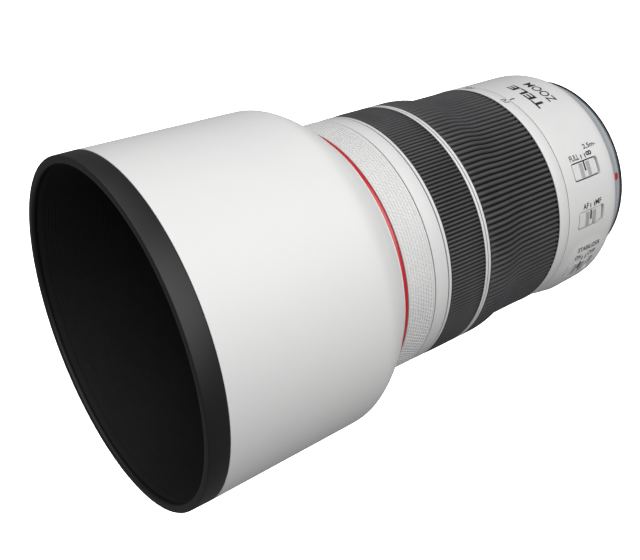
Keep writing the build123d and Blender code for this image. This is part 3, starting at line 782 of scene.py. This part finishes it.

# ---- Seams -------------------------------------------------------------------------------------------------
# Thin black rings set in the gaps between the turning rings: a dark sheet that paints the shade in the
# seams, so that they show as fine dark lines.
seam_shade_black = grained("black wool felt", "#0a0a0a", "#121212", 0.002, 0.0002, 0.00004, 0.95)
for name, rear_y, front_y, radius in (
    ("seam_barrel", barrel_low.y, zoom_high.y, barrel_r),
    ("seam_zoom", zoom_low.y, focus_high.y, lip_r),
    ("seam_focus", focus_low.y, trim_high.y, trim_r),
    ("seam_trim", trim_low.y, control_high.y, trim_r),
    ("seam_control", control_low.y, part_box("front_ring")[1].y, trim_r),
):
    rear_y -= 0.03 * mm
    front_y += 0.03 * mm
    felt = turned(
        [
            (radius - 0.2 * mm, rear_y), (radius - 0.2 * mm, front_y), (bore_r + 0.1 * mm, front_y),
            (bore_r + 0.1 * mm, rear_y),
        ]
    )
    finish_piece(name, felt, "barrel", "soft_rubber", seam_shade_black)

# ---- Head --------------------------------------------------------------------------------------------------
# The turned alloy ring at the front of the extending barrel, anodised black and threaded inside for filters.
# A lacquered red metal band is pressed into a rabbet round its rear edge.
head_low, head_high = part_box("front_ring")
band_low, band_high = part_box("red_ring")
head_r = head_high.x
thread_r = 38.1 * mm
seat_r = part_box("name_ring")[1].x + 0.03 * mm
seat_end = -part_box("name_ring")[0].y + 0.2 * mm
tube_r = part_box("extension_tube")[1].x + 0.05 * mm
tube_end = -108.55 * mm
rabbet_r = head_r - 0.75 * mm
pitch = 0.75 * mm
thread = []
for i in range(5):
    y = head_low.y + pitch * (i + 0.5)
    thread += [(thread_r, y), (thread_r + 0.4 * mm, y + pitch / 2)]
filter_ring = turned(
    [
        (head_r, head_low.y + 0.3 * mm),
        (head_r - 0.3 * mm, head_low.y),
        (thread_r + 0.5 * mm, head_low.y),
        *thread,
        (thread_r, -seat_end - 0.02 * mm),
        (seat_r, -seat_end),
        (seat_r, tube_end),
        (tube_r, tube_end),
        (tube_r, band_high.y),
        (rabbet_r, band_high.y),
        (rabbet_r, band_low.y - 0.02 * mm),
        (head_r, band_low.y - 0.02 * mm),
    ]
)
finish_piece("filter_ring", filter_ring, "front_barrel", "alloy_black", satin_alloy, "front_ring", crease=25)
red_lacquer = grained(
    "red gloss lacquer on alloy", "#bf1620", "#c91a24", 0.01, 0.0004, 0.000004, 0.2, Coat_Weight=0.8,
    Coat_Roughness=0.12,
)
band_r = band_high.x
band_mid = (band_low.y + band_high.y) / 2
band_half = (band_high.y - band_low.y) / 2
arc = [
    (band_r - 0.35 * mm * (1 - math.cos(t)), band_mid + band_half * math.sin(t) * 0.99)
    for t in [math.radians(a) for a in range(-80, 81, 16)]
]
red_band = turned([(rabbet_r + 0.02 * mm, band_low.y), *arc, (rabbet_r + 0.02 * mm, band_high.y)])
finish_piece("red_band", red_band, "front_barrel", "red_ring", red_lacquer, "red_ring", crease=60)
frame["nodes"]["extension_tube"].data.materials.clear()
frame["nodes"]["extension_tube"].data.materials.append(white_enamel)

glass_low, glass_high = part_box("front_lens")
glass_r = glass_high.x
bulge = 2.3 * mm
front_face = [(glass_r * i / 16, glass_low.y + bulge * (i / 16) ** 2) for i in range(17)]
hollow_depth = 2.0 * mm
rear_face = [
    (glass_r * i / 16, glass_high.y - hollow_depth * (1 - (i / 16) ** 2)) for i in range(16, -1, -1)
]
front_glass = turned(front_face + rear_face, steps=128)
finish_piece("front_glass", front_glass, "front_barrel", "optical_glass", coated_glass, "front_lens")

# ---- Hood --------------------------------------------------------------------------------------------------
# A moulded bell in white plastic that turns on the head's bayonet. A black rubber band is bonded round its
# mouth, and its inside is lined in matt black with fine grooves that swallow stray light.
white_plastic = grained("off-white moulded polycarbonate", "#e4e4e4", "#e8e8e7", 0.05, 0.0004, 0.00001, 0.5)
hood_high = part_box("hood_shell")[1]
rim_low, rim_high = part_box("hood_rim")
liner_low, liner_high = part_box("hood_liner")
bell_r = rim_high.x
bell_in = liner_high.x
liner_in = bell_in - 0.8 * mm
collar_r = head_r + 0.3 * mm
well_front = liner_high.y
shoulder_shape = (
    (41.05, 108.85), (41.15, 109.05), (41.2, 109.4), (41.35, 109.6), (42.55, 110.5), (43.9, 112.0),
    (45.4, 114.0), (46.7, 116.0), (47.75, 118.0), (48.15, 118.9), (48.5, 119.9), (48.73, 120.9),
    (48.86, 122.0), (48.91, 123.5), (48.94, 128.0), (48.98, 140.0), (49.04, 155.0),
)
shell = turned(
    [
        (collar_r, hood_high.y),
        *[(r * mm, -z * mm) for r, z in shoulder_shape],
        (bell_r, rim_high.y),
        (bell_r - 1.0 * mm, rim_high.y),
        (bell_r - 1.0 * mm, liner_low.y),
        (bell_in, liner_low.y),
        (bell_in, well_front - 0.3 * mm),
        (collar_r + 0.1 * mm, well_front - 0.3 * mm),
        (collar_r, well_front),
    ],
    steps=288,
)
finish_piece("hood_bell", shell, "hood", "white_hood", white_plastic, "hood_shell", crease=25)

# the red mark that shows the way to twist the hood on, printed on its rear lip
mark_width = 5.0 * mm
hood_lip_r = 41.2 * mm
mark = plate(mark_width, 0.9 * mm, 0.1 * mm, 0.2 * mm, 0.02 * mm)
slice_along(mark, 0, -mark_width / 2, mark_width / 2, 10)
wrapped(mark, lambda theta, y: hood_lip_r, math.radians(-9.5), -109.0 * mm)
finish_piece("hood_red_mark", mark, "hood", "red_ring", red_enamel)

rim_rubber = grained("satin black bonded rubber", "#101010", "#151515", 0.02, 0.0004, 0.00002, 0.46)
rim = turned(
    [
        (bell_r - 1.0 * mm, rim_high.y - 0.02 * mm),
        (bell_r, rim_high.y - 0.02 * mm),
        (bell_r - 0.1 * mm, rim_low.y),
        (liner_in + 0.3 * mm, rim_low.y),
        (liner_in, rim_low.y + 0.5 * mm),
        (liner_in, liner_low.y - 0.02 * mm),
        (bell_r - 1.0 * mm, liner_low.y - 0.02 * mm),
    ],
    steps=288,
)
soften(rim, 0.45 * mm, segments=4)
finish_piece("hood_rim_rubber", rim, "hood", "soft_rubber", rim_rubber, "hood_rim", crease=50)

matt_black = grained("matt black antireflection paint", "#090909", "#0e0e0e", 0.01, 0.0003, 0.00002, 0.8)
groove_pitch = 0.99 * mm
groove_depth = 0.4 * mm
smooth_end = 2.2 * mm
liner_step = liner_high.y - 1.1 * mm
grooves = int((liner_step - (liner_low.y + smooth_end)) / groove_pitch)
face = []
for i in range(grooves):
    y = liner_low.y + smooth_end + groove_pitch * i
    face += [
        (liner_in, y),
        (liner_in + groove_depth, y + 0.15 * groove_pitch),
        (liner_in, y + 0.85 * groove_pitch),
    ]
step_in = thread_r + 1.0 * mm  # the liner's floor comes in to the head here
liner = turned(
    [
        (bell_in, liner_low.y),
        (liner_in + 0.45 * mm, liner_low.y),
        (liner_in, liner_low.y + 1.2 * mm),
        *face,
        (liner_in, liner_step),
        (step_in, liner_step),
        (step_in, liner_high.y - 0.32 * mm),
        (bell_in - 0.02 * mm, liner_high.y - 0.32 * mm),
    ],
    steps=224,
)
finish_piece("hood_liner_grooved", liner, "hood", "black_plastic", matt_black, "hood_liner", crease=30)

# The release button is moulded in the shell's white over a black foot, which its spring bears on inside.
button_plastic = new_finish("off-white polycarbonate cap on a black acetal foot")
place = add_node(button_plastic, "ShaderNodeTexCoord", {}).outputs["Object"]
outward = add_node(
    button_plastic, "ShaderNodeVectorMath", {0: place, 1: (1.0, 0.0, 1.0)}, operation="MULTIPLY"
).outputs["Vector"]
radius = add_node(button_plastic, "ShaderNodeVectorMath", {0: outward}, operation="LENGTH").outputs["Value"]
inside = add_node(
    button_plastic, "ShaderNodeMath", {0: radius, 1: bell_in - 0.12 * mm}, operation="LESS_THAN"
)
shade = add_node(
    button_plastic,
    "ShaderNodeMixRGB",
    {"Fac": inside.outputs["Value"], "Color1": linear("#e6e6e5"), "Color2": linear("#0e0e0e")},
)
fine = add_node(button_plastic, "ShaderNodeTexNoise", {"Vector": place, "Scale": 1 / 0.0004, "Detail": 2.0})
bump = add_node(
    button_plastic, "ShaderNodeBump", {"Height": fine.outputs["Fac"], "Strength": 0.6, "Distance": 0.00001}
)
surface(button_plastic, Base_Color=shade.outputs["Color"], Roughness=0.5, Normal=bump.outputs["Normal"])
frame["nodes"]["hood_button"].data.materials.clear()
frame["nodes"]["hood_button"].data.materials.append(button_plastic)
